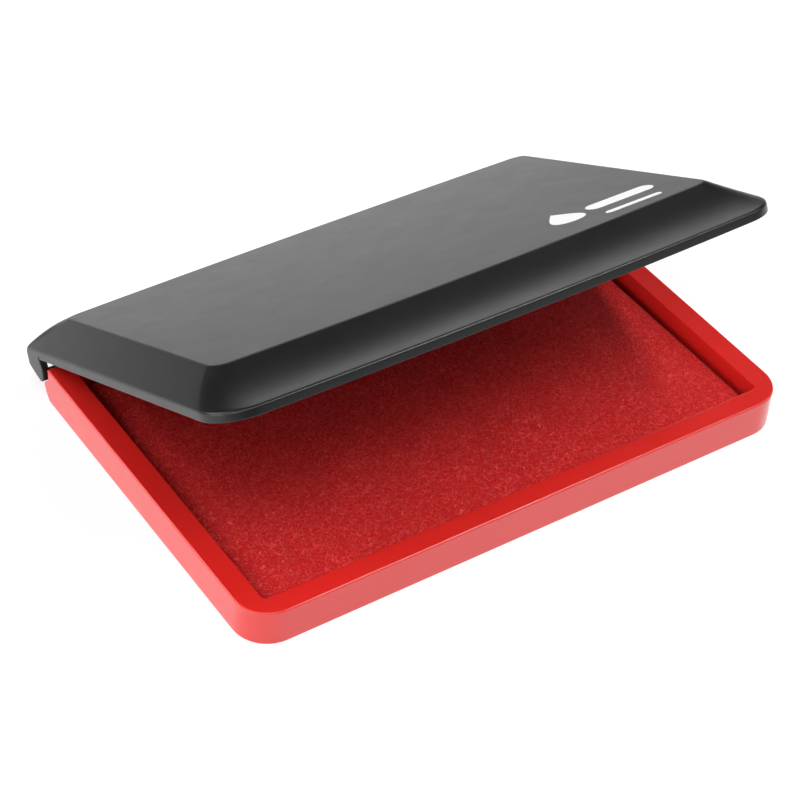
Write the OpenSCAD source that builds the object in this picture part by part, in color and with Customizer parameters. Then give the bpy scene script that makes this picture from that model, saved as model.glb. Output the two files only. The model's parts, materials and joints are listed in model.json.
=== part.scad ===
// Hinged stamp pad: a red tray that holds an ink-soaked pad, and a grey lid that
// turns on two moulded ears at the rear. Drawn with the lid part open.
// X runs along the long side, Y from the front to the hinge, Z up.
// The origin is the middle of the flat underside of the tray.

/* [Pad] */
// Length of the recess that the pad fills
opening_l = 109.5; // [100:0.5:120]
// Depth of the recess, front to rear
opening_w = 70; // [60:1:76]
// Gap between the pad and each recess wall
pad_gap = 0.4; // [0.3:0.1:0.8]
// Height of the pad top above the table
pad_top = 5.4; // [4.8:0.1:6]

/* [Tray] */
// Height of the tray
tray_h = 8; // [7.8:0.1:9]
// Width of the flat rim at the left and right
rim_side = 4.5; // [3.8:0.1:5]
// Width of the flat rim at the front
rim_front = 4.2; // [3.8:0.1:5]
// Width of the flat rim at the rear
rim_rear = 3.2; // [3:0.1:5]
// Thickness of the recess floor
floor_t = 1.6; // [1.2:0.1:1.8]
// Plan radius of the two front corners
tray_corner_r = 7; // [5:0.1:10]

/* [Lid] */
// Height of the lid from its lower edge to its flat top
lid_h = 6.5; // [5.5:0.1:8]
// Height of the upright band round the lid
band_h = 1.8; // [1.4:0.1:2.4]
// How far the lid stands out past the tray at each side
side_overhang = 0.4; // [0.2:0.1:1]
// How far the front corners of the lid stand out past the tray
front_overhang = 0.8; // [0.5:0.1:2]
// How far the front edge bows out between its corners
front_bow = 1.9; // [0.5:0.1:2]
// Width of the slope at each side of the lid
side_slope = 6.6; // [5:0.1:9]
// Width of the slope at the front of the lid
front_slope = 12.6; // [10:0.1:15]
// How far the front slope dips below a straight one at its middle
front_dip = 0.75; // [0:0.05:0.8]
// Wall thickness of the lid
lid_wall = 1.4; // [1.2:0.1:1.5]

/* [Hinge] */
// How far the lid is drawn open, in degrees from closed
drawn_open = 27.5; // [0:0.5:90]
// Radius of the studs on the lid ears
stud_r = 0.75; // [0.6:0.05:0.8]
// Radial running clearance of the studs in the knuckles
stud_clear = 0.05; // [0.02:0.01:0.1]

/* [Hidden] */
$fn = 64;
past = 1; // how far a cutting shape runs past the face that it cuts

tray_hx = opening_l / 2 + rim_side;
tray_hy = (opening_w + rim_front + rim_rear) / 2;
recess_y0 = -tray_hy + rim_front;
recess_y1 = tray_hy - rim_rear;
recess_r = 1;
tray_rear_r = 0.3;
skin_t = 1.4; // thickness of the rim's top over its hollow
rib_t = 1;

// The hinge line is behind the rear wall of the tray and below its top.
pivot_y = tray_hy + 2.6;
pivot_z = 5;
knuckle_r = 1.4;
knuckle_t = 2;
knuckle_x1 = tray_hx - 4.8;

closed_gap = 0.3; // between the rim and the closed lid
lid_z0 = tray_h + closed_gap;
lid_z1 = lid_z0 + band_h;
lid_z2 = lid_z0 + lid_h;
lid_hx = tray_hx + side_overhang;
lid_front = -tray_hy - front_overhang - front_bow;
lid_rear = tray_hy + 7.3;
rear_flat = tray_hy - 1.8;
rear_slope_end = tray_hy + 6.1;
bow_r = (lid_hx * lid_hx + front_bow * front_bow) / (2 * front_bow);
lid_corner_r = 7.8;
lid_corner_set = front_bow * pow((lid_hx - lid_corner_r) / lid_hx, 2);
lid_rear_r = 1;
seal_t = 1;
seal_gap = 0.1;
ear_x0 = lid_hx - lid_wall;

board_t = 0.6;
fleece_t = 0.5;
cloth_t = 0.4;
pad_hx = opening_l / 2 - pad_gap;
pad_y0 = recess_y0 + pad_gap;
pad_y1 = recess_y1 - pad_gap;
pad_corner_r = 1.5;
core_z0 = floor_t + board_t;
fleece_z1 = pad_top - cloth_t;
fleece_z0 = fleece_z1 - fleece_t;

// Points of an arc about (cx, cy), from angle a0 to a1, in n steps.
function arc(cx, cy, r, a0, a1, n) =
    [for (i = [0:n]) let (a = a0 + (a1 - a0) * i / n) [cx + r * cos(a), cy + r * sin(a)]];

// Plan outline with corner radius rf at the front and rr at the rear.
module plan(hx, y0, y1, rf, rr) {
    translate([-hx, y0 + rf]) square([2 * hx, y1 - rr - y0 - rf]);
    translate([-hx + rf, y0]) square([2 * (hx - rf), 2 * rf]);
    translate([-hx + rr, y1 - 2 * rr]) square([2 * (hx - rr), 2 * rr]);
    for (s = [-1, 1]) {
        translate([s * (hx - rf), y0 + rf]) circle(rf);
        translate([s * (hx - rr), y1 - rr]) circle(rr);
    }
}

// Extrudes a [y, z] profile along X, from x0 to x1.
module along_x(x0, x1, profile) {
    translate([x0, 0, 0]) rotate([90, 0, 90]) linear_extrude(x1 - x0) polygon(profile);
}

// Repeats a shape at the left and the right.
module both_ends() {
    children();
    mirror([1, 0, 0]) children();
}

module recess_plan(grow) {
    plan(opening_l / 2 + grow, recess_y0 - grow, recess_y1 + grow, recess_r + grow, recess_r + grow);
}

// Hollow under the rim, crossed by ribs, as a moulding has.
module rim_hollow() {
    translate([0, 0, -past]) linear_extrude(tray_h - skin_t + past) difference() {
        plan(tray_hx - skin_t, -tray_hy + skin_t, tray_hy - skin_t, tray_corner_r - skin_t, 0.4);
        recess_plan(0.9);
        for (x = [-44:22:44]) translate([x - rib_t / 2, -tray_hy]) square([rib_t, 2 * tray_hy]);
        for (y = [-20, 0, 20]) translate([-tray_hx, y - rib_t / 2]) square([2 * tray_hx, rib_t]);
    }
}

// Side profile of the shelf along the rear wall: undercut at its foot, sloped on top.
shelf_profile = concat(
    [[tray_hy - 1, 0], [tray_hy, 0], [tray_hy + 0.35, 0.7], [tray_hy + 0.95, 1.5], [tray_hy + 1.5, 2.8]],
    arc(tray_hy + 1.35, 3.3, 0.35, -15, 45, 4),
    [[tray_hy, 5.2], [tray_hy - 1, 5.2]]);

// One eye that a stud of the lid turns in, on a bracket above the shelf.
module knuckle() {
    translate([knuckle_x1 - knuckle_t, pivot_y, pivot_z]) rotate([0, 90, 0])
        cylinder(h = knuckle_t, r = knuckle_r);
    translate([knuckle_x1 - knuckle_t, tray_hy - skin_t, pivot_z - knuckle_r])
        cube([knuckle_t, pivot_y - tray_hy + skin_t, 2 * knuckle_r]);
}

module tray() color("crimson") difference() {
    union() {
        difference() {
            linear_extrude(tray_h) plan(tray_hx, -tray_hy, tray_hy, tray_corner_r, tray_rear_r);
            translate([0, 0, floor_t]) linear_extrude(tray_h) recess_plan(0);
            rim_hollow();
        }
        along_x(-tray_hx, tray_hx, shelf_profile);
        both_ends() knuckle();
    }
    both_ends() translate([knuckle_x1 - knuckle_t - past, pivot_y, pivot_z]) rotate([0, 90, 0])
        cylinder(h = knuckle_t + 2 * past, r = stud_r + stud_clear);
}

// One flat layer of the pad, drawn in from the cloth by the cloth's thickness.
module pad_layer(z0, z1) {
    translate([0, 0, z0]) linear_extrude(z1 - z0)
        plan(pad_hx - cloth_t, pad_y0 + cloth_t, pad_y1 - cloth_t,
             pad_corner_r - cloth_t, pad_corner_r - cloth_t);
}

// Stiff board that the cloth is wrapped round, flat on the recess floor.
module backing_board() color("tan") pad_layer(floor_t, core_z0);

// Thick felt that holds the ink.
module felt_core() color("firebrick") pad_layer(core_z0, fleece_z0);

// Fine fleece that spreads the ink under the cloth.
module wick_fleece() color("indianred") pad_layer(fleece_z0, fleece_z1);

// Cloth drawn over the layers and down their four sides.
module pad_cloth() color("darkred") difference() {
    translate([0, 0, floor_t]) linear_extrude(pad_top - floor_t)
        plan(pad_hx, pad_y0, pad_y1, pad_corner_r, pad_corner_r);
    pad_layer(floor_t - past, fleece_z1);
}

// One side of the lid's front view, drawn in by t: an upright band, then a
// straight slope up to the flat top.
function side_half(t) = let (
    slope = atan2(lid_z2 - lid_z1, side_slope)
) [
    [lid_hx - t, lid_z0 - (t > 0 ? past : 0)],
    [lid_hx - t, lid_z1 - t * tan((90 - slope) / 2)],
    [lid_hx - side_slope - t * tan(slope / 2), lid_z2 - t]
];

// A point of the hollow front slope, drawn in by t: share runs from 0 at the band to 1 at the top.
function front_point(share, t) = let (
    rise = lid_z2 - lid_z1,
    climb = rise - 4 * front_dip * (1 - 2 * share),
    length = norm([front_slope, climb])
) [
    bow_r - front_slope * share - t * climb / length,
    lid_z1 + rise * share - 4 * front_dip * share * (1 - share) - t * front_slope / length
];

// Turns a half profile round to the other side of the middle.
function flipped(points) = [for (i = [len(points) - 1:-1:0]) [-points[i][0], points[i][1]]];

// The front and flat top: a profile swept round the wide arc of the front edge.
module lid_front_form(t, sweep = 8) {
    foot = lid_z0 - (t > 0 ? past : 0);
    back = bow_r - (lid_rear - lid_front) - 10;
    translate([0, lid_front + bow_r, 0]) rotate([0, 0, -90 - sweep / 2])
        rotate_extrude(angle = sweep, $fn = 1440)
            polygon(concat(
                [[bow_r - t, foot], [bow_r - t, lid_z1 - 0.9 * t]],
                [for (share = [0.25:0.25:0.75]) front_point(share, t)],
                [[bow_r - front_slope - 0.3 * t, lid_z2 - t], [back, lid_z2 - t], [back, foot]]));
}

// The rear: a slope down from the flat top to a short rounded rear wall.
module lid_rear_form(t) {
    foot = lid_z0 - (t > 0 ? past : 0);
    along_x(-lid_hx, lid_hx, [
        [lid_front - past, foot],
        [lid_rear - t, foot],
        [lid_rear - t, lid_z0],
        [lid_rear - 0.4 - t, lid_z0 + 1.1],
        [rear_slope_end - t * 0.8, lid_z1 + 0.2 - t * 0.5],
        [rear_flat - t * 0.3, lid_z2 - t],
        [lid_front - past, lid_z2 - t]]);
}

// Plan of the lid, drawn in by t. Its bowed front edge is left to the front form.
module lid_plan(t) {
    plan(lid_hx - t, lid_front + lid_corner_set + t, lid_rear - t, lid_corner_r - t, lid_rear_r);
    translate([-lid_hx + lid_corner_r, lid_front - past])
        square([2 * (lid_hx - lid_corner_r), lid_corner_r + 2 * past]);
}

module lid_form(t) intersection() {
    lid_front_form(t);
    lid_rear_form(t);
    translate([0, lid_rear + past, 0]) rotate([90, 0, 0])
        linear_extrude(lid_rear - lid_front + 3 * past) {
            half = side_half(t);
            polygon(concat(half, flipped(half)));
        }
    translate([0, 0, lid_z0 - past]) linear_extrude(lid_h + 2 * past)
        lid_plan(t);
}

// Rib inside the lid that stands over the inner edge of the rim and shuts the pad in.
module seal_rib() intersection() {
    translate([0, 0, tray_h + seal_gap]) linear_extrude(lid_h + past) difference() {
        recess_plan(1 + seal_t);
        recess_plan(1);
    }
    union() {
        lid_form(lid_wall / 2);
        translate([-lid_hx, lid_front, tray_h]) cube([2 * lid_hx, lid_rear - lid_front, band_h]);
    }
}

// Side profile of one ear of the closed lid, which hangs from the band round the hinge line.
ear_profile = concat(
    [[tray_hy + 1.4, lid_z1], [tray_hy + 0.6, lid_z0]],
    arc(tray_hy + 2.2, 6.6, 1.9, 160, 200, 4),
    arc(pivot_y, pivot_z, 1.5, 200, 290, 6),
    arc(tray_hy + 5, 7.5, 2, -50, 10, 6),
    [[lid_rear, lid_z0], [lid_rear - 1, lid_z1]]);

module lid_closed() {
    difference() {
        lid_form(0);
        lid_form(lid_wall);
    }
    seal_rib();
    both_ends() {
        along_x(ear_x0, lid_hx, ear_profile);
        translate([knuckle_x1 - knuckle_t - 0.2, pivot_y, pivot_z]) rotate([0, 90, 0])
            cylinder(h = ear_x0 - knuckle_x1 + knuckle_t + 0.5, r = stud_r);
    }
}

module lid_shell() color("dimgray")
    translate([0, pivot_y, pivot_z]) rotate([-drawn_open, 0, 0])
        translate([0, -pivot_y, -pivot_z]) lid_closed();

tray();
backing_board();
felt_core();
wick_fleece();
pad_cloth();
lid_shell();
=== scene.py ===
"""A hinged stamp pad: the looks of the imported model, in its own frame, in metres."""

import json
import math

import bpy
import bmesh
import numpy as np
from mathutils import Matrix, Vector, noise
from mathutils.bvhtree import BVHTree


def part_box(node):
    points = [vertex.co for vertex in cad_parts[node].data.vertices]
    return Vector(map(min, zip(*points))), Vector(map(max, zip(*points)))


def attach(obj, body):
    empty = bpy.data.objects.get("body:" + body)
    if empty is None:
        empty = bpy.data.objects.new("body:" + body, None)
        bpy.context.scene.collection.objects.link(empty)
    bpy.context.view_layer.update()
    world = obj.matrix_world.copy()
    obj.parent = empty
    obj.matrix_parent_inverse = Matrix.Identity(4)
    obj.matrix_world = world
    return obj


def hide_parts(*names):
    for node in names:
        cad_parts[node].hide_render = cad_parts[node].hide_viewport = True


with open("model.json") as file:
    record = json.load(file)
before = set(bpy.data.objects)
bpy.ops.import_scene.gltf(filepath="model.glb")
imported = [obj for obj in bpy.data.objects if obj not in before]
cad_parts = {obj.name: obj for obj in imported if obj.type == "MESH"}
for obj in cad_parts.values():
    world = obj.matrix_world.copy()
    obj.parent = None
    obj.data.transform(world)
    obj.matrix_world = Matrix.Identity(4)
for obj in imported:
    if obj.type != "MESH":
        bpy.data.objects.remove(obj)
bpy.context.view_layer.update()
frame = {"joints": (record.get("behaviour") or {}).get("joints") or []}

MM = 0.001

# ---------------------------------------------------------------- sizes, in mm
HINGE = next(j for j in frame["joints"] if j["name"] == "lid_hinge")
PIVOT_Y, PIVOT_Z = HINGE["pos_m"][1] / MM, HINGE["pos_m"][2] / MM
OPEN_DEG = -HINGE["range_deg"][0]

TRAY_LOW, TRAY_HIGH = (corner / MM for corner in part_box("tray"))
PAD_LOW, PAD_HIGH = (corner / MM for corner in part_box("pad_cloth"))

TRAY_HX, TRAY_HY, TRAY_H = TRAY_HIGH.x, -TRAY_LOW.y, TRAY_HIGH.z
# how far the rear of the tray stands out past its rim, at heights going up
REAR_PROFILE = ((0.0, -0.2), (0.7, 0.38), (1.5, 1.0), (2.8, 1.62), (3.5, 1.8), (5.2, 0.0))
# the recess stands this far out from the pad all round
PAD_GAP = 0.4
RECESS_HX = PAD_HIGH.x + PAD_GAP
RECESS_Y0, RECESS_Y1 = PAD_LOW.y - PAD_GAP, PAD_HIGH.y + PAD_GAP
FLOOR_T = PAD_LOW.z
PAD_TOP = PAD_HIGH.z

# how far the outer wall leans in from rim to foot, at the sides and at the front
DRAFT, FRONT_DRAFT = -0.07, 0.2
# the lip along the top of the outer wall, and the rounding of the rim's edge
LIP_H, LIP_D, EDGE_R = 0.5, 0.08, 0.34
SKIN_T, RECESS_WALL = 1.4, 0.9
FRONT_R = 7.0
# ribs under the rim: half thickness, height of the foot, and where they are rooted in the walls
RIB_HALF, RIB_FOOT, RIB_ROOT, RIB_INNER = 0.5, 0.4, 0.3, 0.6
KNUCKLE_T, KNUCKLE_R, BORE_R, STUD_R = 2.0, 1.4, 0.8, 0.75
KNUCKLE_X1 = TRAY_HX - 4.8

# the lid, closed: its wall, then its lower edge, the top of its band and its flat top
WALL = 1.4
LID_Z0 = TRAY_H + 0.3
LID_Z1 = LID_Z0 + 1.8
LID_Z2 = LID_Z0 + 6.5
LID_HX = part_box("lid_shell")[1].x / MM
LID_Y0 = -TRAY_HY - 0.8
LID_Y1 = TRAY_HY + 7.35
# how far the front edge and the rear of the flat top bow out at their middles
BOW, REAR_BOW = 1.9, 1.5
LID_R, PLATEAU_R, CORNER_SWELL = 7.8, 2.5, 0.9
SIDE_SLOPE, FRONT_SLOPE, REAR_SLOPE = 6.6, 12.6, 9.1
# the hollow of the front slope, and the foot, swell and raised start of the rear one
FRONT_DIP = 0.75
REAR_FOOT, REAR_SWELL, REAR_RISE = 1.1, 0.5, 0.25

# ---------------------------------------------------------------- outlines and lofts
FRONT_N, CORNER_N, SIDE_N, EAR_N, REAR_CORNER_N, REAR_N = 16, 10, 16, 26, 14, 16
EAR_SHARE = 0.905  # where along a side the ear's columns start
SIDE_END = FRONT_N + CORNER_N + SIDE_N + EAR_N
EAR_START = FRONT_N + CORNER_N + SIDE_N
CORNER_END = SIDE_END + REAR_CORNER_N
REAR_COLUMNS = (0.4, 0.8, 1.4)  # the rear edge's first columns, measured in from the ear


def half_outline(hx, y0, y1, front_r, rear_r, bow=0.0):
    """The right half of a rounded plan outline, as x, y points from the front's middle to the rear's."""
    points = [(share * (hx - front_r), y0) for share in np.linspace(0, 1, FRONT_N + 1)]
    for a in np.radians(np.linspace(-90, 0, CORNER_N + 1)[1:]):
        points.append((hx - front_r + front_r * math.cos(a), y0 + front_r + front_r * math.sin(a)))
    along = list(np.linspace(0, EAR_SHARE, SIDE_N + 1)[1:])
    along += list(np.linspace(EAR_SHARE, 1, EAR_N + 1)[1:])
    y_start, y_end = y0 + front_r, y1 - rear_r
    points += [(hx, y_start + share * (y_end - y_start)) for share in along]
    for a in np.radians(np.linspace(0, 90, REAR_CORNER_N + 1)[1:]):
        points.append((hx - rear_r + rear_r * math.cos(a), y1 - rear_r + rear_r * math.sin(a)))
    points += [(share * (hx - rear_r), y1) for share in np.linspace(1, 0, REAR_N + 1)[1:]]
    half = np.array(points)
    front = half[: FRONT_N + CORNER_N + 1]
    front[:, 1] -= bow * (1 - (front[:, 0] / hx) ** 2)
    return half


def ring(half, z):
    """A whole ring of 3-D points from a right half outline and its height or heights."""
    right = np.column_stack([half, np.broadcast_to(z, len(half))])
    left = right[-2:0:-1] * (-1, 1, 1)
    return np.vstack([right, left])


def soften(rings, cuts, steps=3):
    """The rings with each corner between them rounded, starting cut millimetres from the corner."""
    made = []
    for i, (key, cut) in enumerate(zip(rings, cuts)):
        if not cut:
            made.append(key)
            continue
        ends = []
        for other in (rings[i - 1], rings[(i + 1) % len(rings)]):
            gap = other - key
            length = np.linalg.norm(gap, axis=1, keepdims=True)
            ends.append(key + gap * np.minimum(cut / np.maximum(length, 1e-9), 0.45))
        for u in np.linspace(0, 1, steps + 1):
            made.append((1 - u) ** 2 * ends[0] + 2 * u * (1 - u) * key + u * u * ends[1])
    return made


def new_piece(name, points, faces):
    """A smooth-shaded mesh object from points in millimetres."""
    mesh = bpy.data.meshes.new(name)
    mesh.from_pydata((np.asarray(points) * MM).tolist(), [], faces)
    mesh.validate()
    piece = bpy.data.objects.new(name, mesh)
    bpy.context.scene.collection.objects.link(piece)
    mesh.shade_smooth()
    return piece


def loft(rings, closed=False, start=0):
    """Faces over rings of points: capped at both ends, or joined end to end."""
    n, count = len(rings[0]), len(rings)
    faces = []
    for i in range(count if closed else count - 1):
        a, b = start + i * n, start + (i + 1) % count * n
        faces += [(a + j, a + (j + 1) % n, b + (j + 1) % n, b + j) for j in range(n)]
    if not closed:
        last = start + (count - 1) * n
        faces += [tuple(range(start + n - 1, start - 1, -1)), tuple(range(last, last + n))]
    return np.vstack(rings), faces


class Parts:
    """Closed shells gathered into one mesh."""

    def __init__(self):
        self.points, self.faces = np.zeros((0, 3)), []

    def add(self, rings, closed=False, mirrored=False):
        for sign in (1, -1) if mirrored else (1,):
            points, faces = loft([r * (sign, 1, 1) for r in rings], closed, len(self.points))
            self.points = np.vstack([self.points, points])
            self.faces += [f[::-1] for f in faces] if sign < 0 else faces

    def piece(self, name, body, slot, *nodes, turn=None):
        points = self.points if turn is None else turn(self.points)
        made = new_piece(name, points, self.faces)
        outward(made)
        weighted = made.modifiers.new("even shading", "WEIGHTED_NORMAL")
        weighted.keep_sharp = False
        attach(made, body)
        if nodes:
            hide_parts(*nodes)
        return made


def outward(piece):
    """Turns every face of a piece to face out."""
    work = bmesh.new()
    work.from_mesh(piece.data)
    bmesh.ops.recalc_face_normals(work, faces=work.faces)
    work.to_mesh(piece.data)
    work.free()


def block(x0, x1, y0, y1, z0, z1, cut=0.12):
    """Rings of a small box with softened edges, along X."""
    section = np.array([(y0 + cut, z0), (y1 - cut, z0), (y1, z0 + cut), (y1, z1 - cut),
                        (y1 - cut, z1), (y0 + cut, z1), (y0, z1 - cut), (y0, z0 + cut)])
    middle = section.mean(0)
    rings = []
    for x, inset in ((x0, cut), (x0 + cut, 0), (x1 - cut, 0), (x1, cut)):
        shrunk = section + np.clip(middle - section, -inset, inset)
        rings.append(np.column_stack([np.full(len(section), x), shrunk]))
    return rings


def cylinder_rings(x0, x1, radius, cut, y, z, n=32):
    """Rings of a round bar along X with softened ends."""
    rings = []
    for x, r in ((x0, radius - cut), (x0 + cut * 0.3, radius - cut * 0.3), (x0 + cut, radius),
                 (x1 - cut, radius), (x1 - cut * 0.3, radius - cut * 0.3), (x1, radius - cut)):
        a = np.linspace(0, 2 * math.pi, n, endpoint=False)
        rings.append(np.column_stack([np.full(n, x), y + r * np.cos(a), z + r * np.sin(a)]))
    return rings


# ---------------------------------------------------------------- tray
def tray_half(inset, y1=None, rear_r=0.25, front=0.0):
    """The tray's outside, drawn in by inset and a little more at the front, with plain rear corners."""
    rear = TRAY_HY - inset if y1 is None else y1
    return half_outline(TRAY_HX - inset, -TRAY_HY + inset + front, rear, FRONT_R - inset, rear_r)


def recess_half(grow, r=1.0):
    return half_outline(RECESS_HX + grow, RECESS_Y0 - grow, RECESS_Y1 + grow, r + grow, r + grow)


def drafted(z, rear=0.0, inset=0.0):
    """The outline of the drafted outer wall at height z, standing out by rear at the back."""
    fall = 1 - z / TRAY_H
    return tray_half(DRAFT * fall + inset, TRAY_HY + rear, front=(FRONT_DRAFT - DRAFT) * fall)


def tray_rings():
    """The tray, from the middle of its underside out, up over the rim and down to the recess floor."""
    under = TRAY_H - SKIN_T
    rings, cuts = [], []

    def key(half, z, cut=0.0):
        rings.append(ring(half, z))
        cuts.append(cut)

    key(recess_half(-RECESS_WALL), 0)
    key(recess_half(RECESS_WALL), 0, 0.25)
    key(recess_half(RECESS_WALL), under, 0.4)
    key(tray_half(SKIN_T, rear_r=0.4), under, 0.4)
    key(tray_half(SKIN_T, rear_r=0.4), 0, 0.2)
    for (z, rear), cut in zip(REAR_PROFILE, (0.3, 0.2, 0.2, 0.2, 0.3, 0.2)):
        key(drafted(z, rear, LIP_D), z, cut)
    key(drafted(TRAY_H - LIP_H, 0, LIP_D), TRAY_H - LIP_H, 0.05)
    key(drafted(TRAY_H - LIP_H + 0.05), TRAY_H - LIP_H + 0.05, 0.04)
    for a in np.radians(np.linspace(0, 90, 7)):
        inset = EDGE_R * (1 - math.cos(a))
        key(drafted(TRAY_H, -inset, inset), TRAY_H - EDGE_R * (1 - math.sin(a)))
    key(recess_half(0), TRAY_H, 0.22)
    key(recess_half(0), FLOOR_T, 0.3)
    key(recess_half(-3), FLOOR_T)
    return soften(rings, cuts, 4)


def knuckle_rings(n=48):
    """One hinge eye on its bracket: a washer whose outer edge runs out to the rear wall."""
    root = TRAY_HY - 0.5 - PIVOT_Y
    angles = np.linspace(0, 2 * math.pi, n, endpoint=False)
    outer = []
    for a in angles:
        c, s = math.cos(a), math.sin(a)
        reach = KNUCKLE_R
        if c < 0:
            reach = min(root / c, KNUCKLE_R / max(abs(s), 1e-9))
        outer.append((reach * c, reach * s))
    outer = np.array(outer) + (PIVOT_Y, PIVOT_Z)
    hole = np.column_stack([np.cos(angles), np.sin(angles)]) * BORE_R + (PIVOT_Y, PIVOT_Z)
    rings = []
    for section, x in ((hole, KNUCKLE_X1 - KNUCKLE_T), (outer, KNUCKLE_X1 - KNUCKLE_T),
                       (outer, KNUCKLE_X1), (hole, KNUCKLE_X1)):
        rings.append(np.column_stack([np.full(n, x), section]))
    return soften(rings, (0.1, 0.15, 0.15, 0.1), 2)


def make_tray():
    """The tray's shell, its two hinge eyes, and the ribs that cross the hollow under its rim."""
    parts = Parts()
    parts.add(tray_rings())
    parts.add(knuckle_rings(), closed=True, mirrored=True)
    heights = (RIB_FOOT, TRAY_H - SKIN_T + RIB_ROOT)
    front = (-TRAY_HY + SKIN_T - RIB_ROOT, RECESS_Y0 - RIB_INNER)
    back = (RECESS_Y1 + RIB_INNER, TRAY_HY - SKIN_T + RIB_ROOT)
    side = (RECESS_HX + RIB_INNER, TRAY_HX - SKIN_T + RIB_ROOT)
    for x in (-44, -22, 0, 22, 44):
        parts.add(block(x - RIB_HALF, x + RIB_HALF, *front, *heights))
        parts.add(block(x - RIB_HALF, x + RIB_HALF, *back, *heights))
    for y in (-20, 0, 20):
        parts.add(block(*side, y - RIB_HALF, y + RIB_HALF, *heights), mirrored=True)
    return parts.piece("tray_moulding", "base", "tray_plastic", "tray")


# ---------------------------------------------------------------- lid, drawn closed and then turned open
def opened(points):
    """Points of the closed lid, turned to where the joint rests."""
    a = math.radians(OPEN_DEG)
    y, z = points[:, 1] - PIVOT_Y, points[:, 2] - PIVOT_Z
    turned = points.copy()
    turned[:, 1] = PIVOT_Y + y * math.cos(a) + z * math.sin(a)
    turned[:, 2] = PIVOT_Z - y * math.sin(a) + z * math.cos(a)
    return turned


def lid_half(side, front, rear, front_r, rear_r, rear_bow=0.0):
    """The lid's outline drawn in by those insets, with its bowed front and a rear that may bow too.

    Every outline starts its ear columns just short of the tray's rear edge, or 2 mm before its own
    rear corner if that is sooner, so that the columns stand upright there, clear of the tray.
    """
    half = half_outline(LID_HX - side, LID_Y0 + front, LID_Y1 - rear, front_r, rear_r, BOW)
    corner_y, end_y = half[FRONT_N + CORNER_N, 1], half[SIDE_END, 1]
    ear_y = max(half[EAR_START, 1], min(TRAY_HY - 0.3, end_y - 2))
    half[FRONT_N + CORNER_N:EAR_START + 1, 1] = np.linspace(corner_y, ear_y, SIDE_N + 1)
    half[EAR_START:SIDE_END + 1, 1] = np.linspace(ear_y, end_y, EAR_N + 1)
    back = half[SIDE_END:]
    back[:, 1] += rear_bow * (1 - (back[:, 0] / (LID_HX - side)) ** 2)
    return half


def blended(front_z, side_z, rear_z):
    """Heights along a half outline: the front's, the side's and the rear's, eased round the corners."""
    turn = (1 - np.cos(np.linspace(0, math.pi, CORNER_N + 1))) / 2
    back = (1 - np.cos(np.linspace(0, math.pi, REAR_CORNER_N + 1))) / 2
    return np.concatenate([
        np.full(FRONT_N, front_z), front_z + (side_z - front_z) * turn,
        np.full(SIDE_N + EAR_N - 1, side_z), side_z + (rear_z - side_z) * back,
        np.full(REAR_N, rear_z)])


def ear_edge():
    """The ear's lower edge from its start to its heel, as y, z: down, round the hinge line and up."""
    def arc(y, z, r, a0, a1, n):
        a = np.radians(np.linspace(a0, a1, n))
        return np.column_stack([y + r * np.cos(a), z + r * np.sin(a)])

    start = np.array([(TRAY_HY - 0.35, LID_Z0), (TRAY_HY + 0.55, LID_Z0)])
    return np.vstack([
        start,
        arc(TRAY_HY + 2.3, 6.6, 1.9, 163, 200, 7),
        arc(PIVOT_Y, PIVOT_Z, 1.5, 205, 285, 9),
        arc(TRAY_HY + 5, 7.5, 2, -50, -30, 4)])


def even(path, count):
    """count points spaced evenly along a path."""
    lengths = np.r_[0, np.cumsum(np.linalg.norm(np.diff(path, axis=0), axis=1))]
    at = np.linspace(0, lengths[-1], count)
    return np.column_stack([np.interp(at, lengths, path[:, k]) for k in range(2)])


def foot_half(drawn_in, lift):
    """The lid's lower edge: flat, but let down round each ear.

    drawn_in insets it, and lift moves it up, or in where it goes round an ear.
    """
    half = lid_half(drawn_in, drawn_in, drawn_in, LID_R - drawn_in, max(1 - drawn_in, 0.3))
    z = np.full(len(half), LID_Z0 + lift)
    path = even(ear_edge(), EAR_N + 1)
    if lift:
        along = np.gradient(path, axis=0)
        normal = np.column_stack([-along[:, 1], along[:, 0]])
        normal = normal / np.linalg.norm(along, axis=1, keepdims=True)
        path = path + normal * lift
    last_y = half[SIDE_END, 1]
    over = path[:, 0] > TRAY_HY + 3
    squeeze = (last_y - TRAY_HY - 3) / (path[-1, 0] - TRAY_HY - 3)
    path[over, 0] = TRAY_HY + 3 + (path[over, 0] - TRAY_HY - 3) * squeeze
    half[EAR_START:SIDE_END + 1, 1] = path[:, 0]
    z[EAR_START:SIDE_END + 1] = path[:, 1]
    half[FRONT_N + CORNER_N:EAR_START + 1, 1] = np.linspace(
        half[FRONT_N + CORNER_N, 1], path[0, 0], SIDE_N + 1)
    heel = path[-1, 1]
    rise = np.linspace(0, 1, REAR_CORNER_N + 1)
    top = LID_Z0 - 0.8 + lift
    z[SIDE_END:CORNER_END + 1] = heel + (top - heel) * (0.35 * rise + 0.65 * rise ** 3)
    inward = np.clip((half[CORNER_END, 0] - half[CORNER_END:, 0]) / 0.7, 0, 1)
    z[CORNER_END:] = top + (LID_Z0 + lift - top) * inward
    return half, z


def tighten_rear(half):
    """Gathers the rear edge's first columns beside the ear, where its lower edge steps up."""
    x0 = half[CORNER_END, 0]
    steps = [x0 - s for s in REAR_COLUMNS]
    rest = np.linspace(steps[-1], 0, REAR_N - len(steps) + 1)[1:]
    half[CORNER_END + 1:, 0] = steps + list(rest)
    return half


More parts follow.
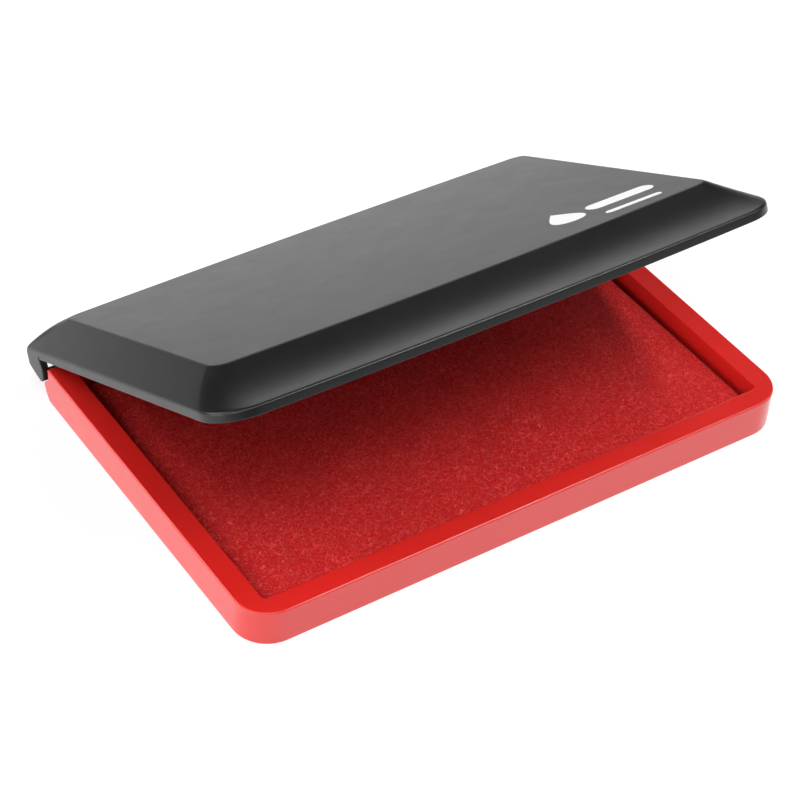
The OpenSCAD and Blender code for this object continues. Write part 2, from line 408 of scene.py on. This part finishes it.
def slope_keys(t):
    """What the lid's outline is at steps up its slopes, from the band to the flat top, drawn in by t.

    Each is an inset and a height for the side, the front and the rear, then the front and rear
    corners' radii and how far the rear bows.
    """
    rise = LID_Z2 - LID_Z1
    keys = []
    for share in (0.0, 0.12, 0.25, 0.4, 0.55, 0.7, 0.85, 1.0):
        bend = 4 * share * (1 - share)
        climb = rise - 4 * FRONT_DIP * (1 - 2 * share)
        length = math.hypot(FRONT_SLOPE, climb)
        front = (FRONT_SLOPE * share + t * climb / length,
                 LID_Z1 + rise * share - FRONT_DIP * bend - t * FRONT_SLOPE / length)
        k = math.hypot(SIDE_SLOPE, rise)
        side = (SIDE_SLOPE * share + t * rise / k, LID_Z1 + rise * share - t * SIDE_SLOPE / k)
        run = REAR_SLOPE - REAR_FOOT
        k = math.hypot(run, rise)
        rear = (REAR_FOOT + run * share + t * rise / k,
                LID_Z1 + rise * share + REAR_SWELL * bend + REAR_RISE * (1 - share) - t * run / k)
        corner = LID_R - (LID_R - PLATEAU_R) * share + CORNER_SWELL * bend
        keys.append((side, front, rear, corner, 1 + 0.3 * share, REAR_BOW * share))
    return keys


def lid_rings():
    """The lid from the middle of its flat top, down its outside, round its lower edge and up inside."""
    rings, cuts = [], []

    def key(half, z, cut=0.0):
        rings.append(ring(tighten_rear(half), z))
        cuts.append(cut)

    outer = slope_keys(0)
    side, front, rear, fr, rr, bow = outer[-1]
    key(lid_half(side[0] + 3, front[0] + 3, rear[0] + 3, 1.5, 1, bow), LID_Z2)
    for i, (side, front, rear, fr, rr, bow) in enumerate(reversed(outer)):
        cut = 0.55 if i == 0 else 0.6 if i == len(outer) - 1 else 0
        key(lid_half(side[0], front[0], rear[0], fr, rr, bow), blended(front[1], side[1], rear[1]), cut)
    key(lid_half(0, 0, 0.35, LID_R, 1), LID_Z0 + 0.9, 0)
    key(*foot_half(0, 0.42), 0)
    key(*foot_half(0, 0), 0.2)
    key(*foot_half(WALL, 0), 0.2)
    key(*foot_half(WALL, 0.42), 0)
    inner = slope_keys(WALL)
    for side, front, rear, fr, rr, bow in inner[1:]:
        key(lid_half(max(side[0], WALL), max(front[0], WALL), max(rear[0], WALL), fr - 1, 0.4, bow),
            blended(*(min(height, LID_Z2 - WALL) for height in (front[1], side[1], rear[1]))))
    side, front, rear, fr, rr, bow = inner[-1]
    key(lid_half(side[0] + 3, front[0] + 3, rear[0] + 3, 1, 1, bow), LID_Z2 - WALL)
    return soften(rings, cuts, 4)


def rib_rings(shell):
    """The sealing rib inside the lid, over the inner edge of the rim, rooted in the lid's own wall."""
    points, faces = loft(shell)
    tree = BVHTree.FromPolygons(points.tolist(), faces)

    def ceiling(half):
        hits = [tree.ray_cast(Vector((x, y, LID_Z0)), Vector((0, 0, 1)))[3] for x, y in half]
        return LID_Z0 + np.array(hits)

    inner, outer = recess_half(1.0), recess_half(2.0)
    foot = TRAY_H + 0.1
    rings = [ring(inner, ceiling(inner) + 0.5), ring(inner, foot),
             ring(outer, foot), ring(outer, ceiling(outer) + 0.5)]
    return soften(rings, (0, 0.3, 0.3, 0), 3)


def make_lid():
    parts = Parts()
    shell = lid_rings()
    parts.add(shell)
    parts.add(rib_rings(shell), closed=True)
    stud_x0, stud_x1 = KNUCKLE_X1 - KNUCKLE_T - 0.2, LID_HX - WALL + 0.4
    parts.add(cylinder_rings(stud_x0, stud_x1, STUD_R, 0.15, PIVOT_Y, PIVOT_Z), mirrored=True)
    return parts.piece("lid_moulding", "lid", "lid_plastic", "lid_shell", turn=opened)


# ---------------------------------------------------------------- printed mark
def film(outline, z, thick=0.04):
    """Rings of a thin printed film with that outline."""
    middle = outline.mean(0)
    rings = []
    for height, inset in ((-0.02, 0), (thick * 0.6, 0), (thick, 0.05)):
        inward = middle - outline
        drawn = outline + inward / np.linalg.norm(inward, axis=1, keepdims=True) * inset
        rings.append(np.column_stack([drawn, np.full(len(outline), z + height)]))
    return rings


def bar(x0, x1, y0, y1, r, n=8):
    """Outline of a bar with rounded corners."""
    points = []
    corners = ((x1 - r, y0 + r, -90), (x1 - r, y1 - r, 0), (x0 + r, y1 - r, 90), (x0 + r, y0 + r, 180))
    for cx, cy, a0 in corners:
        for a in np.radians(np.linspace(a0, a0 + 90, n)):
            points.append((cx + r * math.cos(a), cy + r * math.sin(a)))
    return np.array(points)


def drop(x, y, width, height, n=48):
    """Outline of an ink drop with its point at the rear."""
    a = np.linspace(0, 2 * math.pi, n, endpoint=False)
    side = np.sin(a) * np.sin(a / 2) ** 1.5
    return np.column_stack([x + side * width * 0.77, y + height / 2 * np.cos(a)])


def make_mark():
    parts = Parts()
    front = -TRAY_HY
    parts.add(film(drop(26.5, front + 22.0, 6.6, 8.6), LID_Z2))
    parts.add(film(bar(31.8, 47.0, front + 19.8, front + 23.6, 1.9), LID_Z2))
    parts.add(film(bar(31.8, 44.5, front + 14.6, front + 16.1, 0.75), LID_Z2))
    return parts.piece("lid_mark", "lid", "print_ink", turn=opened)


# ---------------------------------------------------------------- pad
def slab_rings(inset, z0, z1, edge, corner=1.6):
    """Rings of a flat layer of the pad with rounded upper edges."""
    hx, y0, y1 = PAD_HIGH.x - inset, PAD_LOW.y + inset, PAD_HIGH.y - inset

    def level(z, more):
        return ring(half_outline(hx - more, y0 + more, y1 - more, corner, corner), z)

    rings = [level(z0, 1), level(z0, 0.1), level(z0 + 0.1, 0)]
    for a in np.radians(np.linspace(0, 90, 6)):
        rings.append(level(z1 - edge + edge * math.sin(a), edge * (1 - math.cos(a))))
    rings.append(level(z1, edge + 2))
    return rings


def make_layer(name, slot, node, z0, z1, edge):
    parts = Parts()
    parts.add(slab_rings(0.75, z0, z1, edge, 1.1))
    return parts.piece(name, "base", slot, node)


SIM_SCALE = 10  # the pad is simulated ten times as large, where the cloth solver is steady
SIM_STEPS = 15
# in mm: the form's mesh size, how high over the floor the cloth is held, and the most that it swells
VOXEL, HELD_H, SWELL_CAP = 1.1, 0.9, 0.32


def simulated_pad():
    """The pad's cover as a closed form, swelled by a cloth simulation and held down at its foot."""
    rings = slab_rings(0.2, FLOOR_T + 0.01, PAD_TOP - 0.35, 1.3, 1.7)
    points, faces = loft([r * SIM_SCALE for r in rings])
    rough = new_piece("pad_form", points, faces)
    outward(rough)
    remesh = rough.modifiers.new("remesh", "REMESH")
    remesh.mode = "VOXEL"
    remesh.voxel_size = VOXEL * MM * SIM_SCALE
    form = bpy.data.meshes.new_from_object(rough.evaluated_get(bpy.context.evaluated_depsgraph_get()))
    bpy.data.objects.remove(rough)
    piece = bpy.data.objects.new("ink_pad_cloth", form)
    bpy.context.scene.collection.objects.link(piece)
    start = vertex_array(form)
    held = piece.vertex_groups.new(name="held")
    low = (FLOOR_T + HELD_H) * MM * SIM_SCALE
    held.add([i for i, p in enumerate(start) if p[2] < low], 1.0, "REPLACE")
    cloth = piece.modifiers.new("swell", "CLOTH")
    cloth.settings.quality = 6
    cloth.settings.mass = 0.3
    cloth.settings.tension_stiffness = 40
    cloth.settings.compression_stiffness = 40
    cloth.settings.bending_stiffness = 2
    cloth.settings.use_pressure = True
    cloth.settings.uniform_pressure_force = 3
    cloth.settings.effector_weights.gravity = 0
    cloth.settings.vertex_group_mass = "held"
    scene = bpy.context.scene
    for step in range(1, SIM_STEPS + 1):
        scene.frame_set(step)
    swelled = piece.evaluated_get(bpy.context.evaluated_depsgraph_get())
    end = vertex_array(swelled.data)
    piece.modifiers.remove(cloth)
    piece.vertex_groups.clear()
    scene.frame_set(1)
    moved = end - start
    far = np.linalg.norm(moved, axis=1, keepdims=True)
    cap = SWELL_CAP * MM * SIM_SCALE
    start = start + moved * np.minimum(1, cap / np.maximum(far, 1e-9))
    form.vertices.foreach_set("co", (start / SIM_SCALE).astype(np.float32).ravel())
    return piece


def vertex_array(mesh):
    co = np.zeros(len(mesh.vertices) * 3, np.float32)
    mesh.vertices.foreach_get("co", co)
    return co.reshape(-1, 3).astype(float)


def make_pad():
    """The cover cloth: the swelled form, made finer, with its nap raised."""
    piece = simulated_pad()
    divide = piece.modifiers.new("finer", "SUBSURF")
    divide.levels = divide.render_levels = 1
    fine = bpy.data.meshes.new_from_object(piece.evaluated_get(bpy.context.evaluated_depsgraph_get()))
    piece.modifiers.clear()
    piece.data = fine
    fine.shade_smooth()
    normals = np.zeros(len(fine.vertices) * 3, np.float32)
    fine.vertices.foreach_get("normal", normals)
    normals = normals.reshape(-1, 3)
    co = vertex_array(fine)
    lift = np.zeros(len(co))
    for i, p in enumerate(co / MM):
        lift[i] = 0.05 * noise.noise(Vector(p * 0.55)) + 0.035 * noise.noise(Vector(p * 1.3))
    lift *= np.clip((co[:, 2] / MM - FLOOR_T - 0.3) / 1.0, 0, 1)
    co += normals * lift[:, None] * MM
    fine.vertices.foreach_set("co", co.astype(np.float32).ravel())
    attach(piece, "base")
    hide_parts("pad_cloth")
    return piece


# ---------------------------------------------------------------- materials
class Nodes:
    """Short names for making a procedural material."""

    def __init__(self, name):
        self.material = bpy.data.materials.new(name)
        self.material.use_nodes = True
        self.tree = self.material.node_tree
        self.shader = self.tree.nodes["Principled BSDF"]
        self.at = self.add("ShaderNodeTexCoord").outputs["Object"]

    def add(self, kind, **values):
        node = self.tree.nodes.new(kind)
        for key, value in values.items():
            if key in node.inputs:
                node.inputs[key].default_value = value
            else:
                setattr(node, key, value)
        return node

    def link(self, source, target):
        self.tree.links.new(source, target)

    def noise(self, size_mm, detail=3.0, rough=0.5, distortion=0.0, at=None):
        """Noise with features of about that size."""
        node = self.add("ShaderNodeTexNoise")
        node.inputs["Scale"].default_value = 1 / (size_mm * MM)
        node.inputs["Detail"].default_value = detail
        node.inputs["Roughness"].default_value = rough
        node.inputs["Distortion"].default_value = distortion
        self.link(at or self.at, node.inputs["Vector"])
        return node.outputs["Fac"]

    def ramp(self, source, *stops):
        node = self.add("ShaderNodeValToRGB")
        elements = node.color_ramp.elements
        for _ in stops[2:]:
            elements.new(0.5)
        for element, (place, colour) in zip(elements, stops):
            element.position = place
            element.color = colour if len(colour) == 4 else (*colour, 1)
        self.link(source, node.inputs["Fac"])
        return node.outputs["Color"]

    def mix(self, share, a, b):
        node = self.add("ShaderNodeMix", data_type="RGBA")
        for socket, value in ((node.inputs[0], share), (node.inputs[6], a), (node.inputs[7], b)):
            if isinstance(value, bpy.types.NodeSocket):
                self.link(value, socket)
            else:
                socket.default_value = value if isinstance(value, float) else (*value, 1)
        return node.outputs[2]

    def lighter(self, a, b):
        node = self.add("ShaderNodeMix", data_type="RGBA", blend_type="LIGHTEN")
        node.inputs[0].default_value = 1.0
        self.link(a, node.inputs[6])
        self.link(b, node.inputs[7])
        return node.outputs[2]

    def bump(self, source, depth_mm, strength=1.0, under=None):
        node = self.add("ShaderNodeBump")
        node.inputs["Strength"].default_value = strength
        node.inputs["Distance"].default_value = depth_mm * MM
        self.link(source, node.inputs["Height"])
        if under:
            self.link(under, node.inputs["Normal"])
        return node.outputs["Normal"]

    def set(self, **values):
        names = {"specular": "Specular IOR Level", "roughness": "Roughness", "sheen": "Sheen Weight",
                 "sheen_rough": "Sheen Roughness", "coat": "Coat Weight", "coat_rough": "Coat Roughness",
                 "ior": "IOR", "subsurface": "Subsurface Weight", "subsurface_scale": "Subsurface Scale"}
        for key, value in values.items():
            self.shader.inputs[names[key]].default_value = value

    def colour(self, source):
        self.link(source, self.shader.inputs["Base Color"])

    def rough(self, source):
        self.link(source, self.shader.inputs["Roughness"])

    def normal(self, source):
        self.link(source, self.shader.inputs["Normal"])


def grey(value):
    return (value, value, value)


def lid_plastic():
    """Dark grey plastic from a spark-eroded mould: an even fine grain, a little polished by handling."""
    m = Nodes("lid_plastic")
    tone = m.noise(14, 2)
    fine = m.noise(0.16, 2, 0.6)
    m.colour(m.mix(tone, (0.0080, 0.0082, 0.0086), (0.0100, 0.0102, 0.0107)))
    worn = m.noise(6, 4, 0.6)
    m.rough(m.ramp(worn, (0.3, grey(0.31)), (0.75, grey(0.36))))
    m.normal(m.bump(fine, 0.012, 0.55, m.bump(m.noise(0.55, 2), 0.01, 0.5)))
    m.set(ior=1.5)
    return m.material


def tray_plastic():
    """Glossy red plastic with a faint orange-peel and a little light spread inside."""
    m = Nodes("tray_plastic")
    tone = m.noise(18, 3)
    m.colour(m.mix(tone, (0.66, 0.0145, 0.0115), (0.73, 0.0175, 0.0135)))
    m.rough(m.ramp(m.noise(5, 4, 0.6), (0.3, grey(0.30)), (0.75, grey(0.37))))
    m.normal(m.bump(m.noise(0.4, 3), 0.010, 0.45))
    m.set(ior=1.5, subsurface=0.25, subsurface_scale=0.0022, coat=0.6, coat_rough=0.1)
    m.shader.inputs["Subsurface Radius"].default_value = (1.0, 0.12, 0.08)
    return m.material


def ink_cloth():
    """Damp napped cloth: curled fibres, paler at their tips, over a dark soaked ground."""
    m = Nodes("ink_cloth")
    curls = []
    for size, twist, turn in ((1.15, 0.6, 0.0), (0.8, 0.9, 1.1), (0.55, 0.4, 2.3)):
        place = m.add("ShaderNodeMapping")
        place.inputs["Rotation"].default_value = (0.0, 0.0, turn)
        m.link(m.at, place.inputs["Vector"])
        field = m.noise(size, 1.0, 0.5, twist, place.outputs["Vector"])
        curls.append(m.ramp(field, (0.40, grey(0)), (0.47, grey(0.25)), (0.50, grey(1)),
                            (0.53, grey(0.25)), (0.60, grey(0))))
    nap = m.lighter(m.lighter(curls[0], curls[1]), curls[2])
    loose = m.noise(0.35, 3, 0.6)
    patch = m.noise(7, 3)
    ground = m.mix(loose, (0.46, 0.0020, 0.0028), (0.80, 0.0065, 0.0080))
    fibres = m.mix(m.ramp(nap, (0.2, grey(0)), (0.9, grey(0.9))), ground, (1.0, 0.085, 0.08))
    m.colour(m.mix(m.ramp(patch, (0.35, grey(0.0)), (0.7, grey(0.22))), fibres, (0.46, 0.005, 0.007)))
    m.normal(m.bump(nap, 0.16, 0.9, m.bump(loose, 0.18, 0.8)))
    m.set(roughness=0.7, sheen=0.06, sheen_rough=0.45, specular=0.2)
    m.shader.inputs["Sheen Tint"].default_value = (1.0, 0.2, 0.2, 1)
    return m.material


def soaked_felt(name, dark, light, size_mm):
    """Felt of matted fibres, soaked in ink."""
    m = Nodes(name)
    fibre = m.noise(size_mm, 5, 0.7, 1.5)
    m.colour(m.mix(m.ramp(fibre, (0.35, grey(0)), (0.7, grey(1))), dark, light))
    m.normal(m.bump(fibre, 0.2, 0.8))
    m.set(roughness=0.85, sheen=0.2)
    return m.material


def pressed_card():
    """Brown pressed board with flecks."""
    m = Nodes("card")
    m.colour(m.ramp(m.noise(0.8, 5, 0.7, 0.4), (0.35, (0.30, 0.20, 0.11)),
                    (0.6, (0.46, 0.34, 0.21)), (0.8, (0.55, 0.44, 0.30))))
    m.normal(m.bump(m.noise(0.3, 4, 0.7), 0.05, 0.6))
    m.set(roughness=0.8)
    return m.material


def print_ink():
    """White pad-printed ink, a thin film that shows the grain under it."""
    m = Nodes("print_ink")
    m.colour(m.ramp(m.noise(0.25, 3, 0.6), (0.25, grey(0.80)), (0.5, grey(0.92))))
    m.normal(m.bump(m.noise(0.16, 2), 0.008, 0.5))
    m.set(roughness=0.45)
    return m.material


def paint(piece, material):
    piece.data.materials.clear()
    piece.data.materials.append(material)


# ---------------------------------------------------------------- stage, light and camera
def make_floor():
    """A plain white floor, bright as a light table."""
    size = 6.0
    mesh = bpy.data.meshes.new("floor")
    corners = [(-size, -size, 0), (size, -size, 0), (size, size, 0), (-size, size, 0)]
    mesh.from_pydata(corners, [], [(0, 1, 2, 3)])
    floor = bpy.data.objects.new("floor", mesh)
    bpy.context.scene.collection.objects.link(floor)
    m = Nodes("floor")
    away = m.add("ShaderNodeVectorMath", operation="LENGTH")
    m.link(m.at, away.inputs[0])
    m.colour(m.ramp(away.outputs["Value"], *((r, grey(v)) for r, v in FLOOR_TONE)))
    glow = m.ramp(away.outputs["Value"], *((r, grey(v)) for r, v in FLOOR_GLOW))
    m.link(glow, m.shader.inputs["Emission Color"])
    m.shader.inputs["Roughness"].default_value = 1.0
    m.shader.inputs["Specular IOR Level"].default_value = 0.0
    m.shader.inputs["Emission Strength"].default_value = 1.0
    floor.data.materials.append(m.material)


def softbox(name, azimuth, elevation, size, radiance, distance=0.9, target=(0, 0, 0.01)):
    """A soft box that looks at the target; azimuth is from +X towards +Y, both angles in degrees."""
    data = bpy.data.lights.new(name, "AREA")
    data.shape = "RECTANGLE"
    data.size, data.size_y = size
    data.energy = radiance * math.pi * size[0] * size[1]
    light = bpy.data.objects.new(name, data)
    bpy.context.scene.collection.objects.link(light)
    a, e = math.radians(azimuth), math.radians(elevation)
    way = Vector((math.cos(a) * math.cos(e), math.sin(a) * math.cos(e), math.sin(e)))
    light.location = Vector(target) + way * distance
    light.rotation_mode = "QUATERNION"
    light.rotation_quaternion = way.to_track_quat("Z", "Y")


def make_world():
    """A studio that is bright near the floor and dim higher up."""
    world = bpy.data.worlds.new("studio")
    bpy.context.scene.world = world
    world.use_nodes = True
    tree = world.node_tree
    background = tree.nodes["Background"]
    way = tree.nodes.new("ShaderNodeTexCoord")
    split = tree.nodes.new("ShaderNodeSeparateXYZ")
    ramp = tree.nodes.new("ShaderNodeValToRGB")
    tree.links.new(way.outputs["Generated"], split.inputs["Vector"])
    tree.links.new(split.outputs["Z"], ramp.inputs["Fac"])
    tree.links.new(ramp.outputs["Color"], background.inputs["Color"])
    elements = ramp.color_ramp.elements
    for _ in WORLD_STOPS[2:]:
        elements.new(0.5)
    for element, (height, value) in zip(elements, WORLD_STOPS):
        element.position = height
        element.color = (*grey(value), 1)
    background.inputs["Strength"].default_value = 1.0


def make_camera():
    """The photograph's viewpoint."""
    data = bpy.data.cameras.new("camera")
    data.lens = 109.34
    data.sensor_width = 36
    data.clip_start, data.clip_end = 0.05, 20
    camera = bpy.data.objects.new("camera", data)
    bpy.context.scene.collection.objects.link(camera)
    azimuth, elevation, roll = math.radians(-35.03), math.radians(41.29), math.radians(2.99)
    target, distance = Vector((-0.00612, -0.00277, 0.008)), 0.45886
    level = math.cos(elevation)
    back = Vector((math.sin(azimuth) * level, -math.cos(azimuth) * level, math.sin(elevation)))
    turn = (-back).to_track_quat("-Z", "Y").to_matrix().to_4x4() @ Matrix.Rotation(roll, 4, "Z")
    camera.matrix_world = Matrix.Translation(target + back * distance) @ turn
    bpy.context.scene.camera = camera


# radius from the middle of the floor in metres, and how pale or bright it is there
FLOOR_TONE = ((0.17, 0.44), (0.42, 0.18))
FLOOR_GLOW = ((0.17, 0.67), (0.42, 0.16))
# sine of the height above the floor, and how bright the studio is there
WORLD_STOPS = ((0.0, 0.06), (0.10, 0.05), (0.30, 0.0), (1.0, 0.0))
# name, azimuth, elevation, width and height, radiance
SOFTBOXES = (
    ("key", -120, 62, (0.45, 0.45), 3.2),
    ("front top", -75, 62, (0.45, 0.45), 0.9),
    ("strip", -19, 62.5, (0.80, 0.10), 17.0),
    ("right", -15, 35, (0.70, 0.45), 1.4),
    ("front left", -150, 35, (0.45, 0.45), 3.8),
    ("left low", 178, 8, (0.60, 0.22), 6.5),
    ("rear left", 136, 36, (0.35, 0.50), 5.5),
    ("rear low", 61, 13, (0.40, 0.32), 1.65),
    ("front low", -62, 9, (0.60, 0.30), 0.7),
)


make_camera()
make_floor()
make_world()
for box in SOFTBOXES:
    softbox(*box)

tray = make_tray()
lid = make_lid()
mark = make_mark()
board = make_layer("card_board", "card", "backing_board", FLOOR_T + 0.02, FLOOR_T + 0.6, 0.1)
felt = make_layer("felt_block", "felt", "felt_core", FLOOR_T + 0.62, PAD_TOP - 1.35, 0.3)
fleece = make_layer("fleece_sheet", "fleece", "wick_fleece", PAD_TOP - 1.33, PAD_TOP - 0.95, 0.2)
pad = make_pad()

paint(tray, tray_plastic())
paint(lid, lid_plastic())
paint(mark, print_ink())
paint(board, pressed_card())
paint(felt, soaked_felt("felt", (0.22, 0.003, 0.005), (0.42, 0.02, 0.025), 0.5))
paint(fleece, soaked_felt("fleece", (0.28, 0.004, 0.006), (0.46, 0.03, 0.035), 0.3))
paint(pad, ink_cloth())

settings = bpy.context.scene.view_settings
settings.view_transform = "Standard"
settings.look = "None"
settings.exposure = 0.0
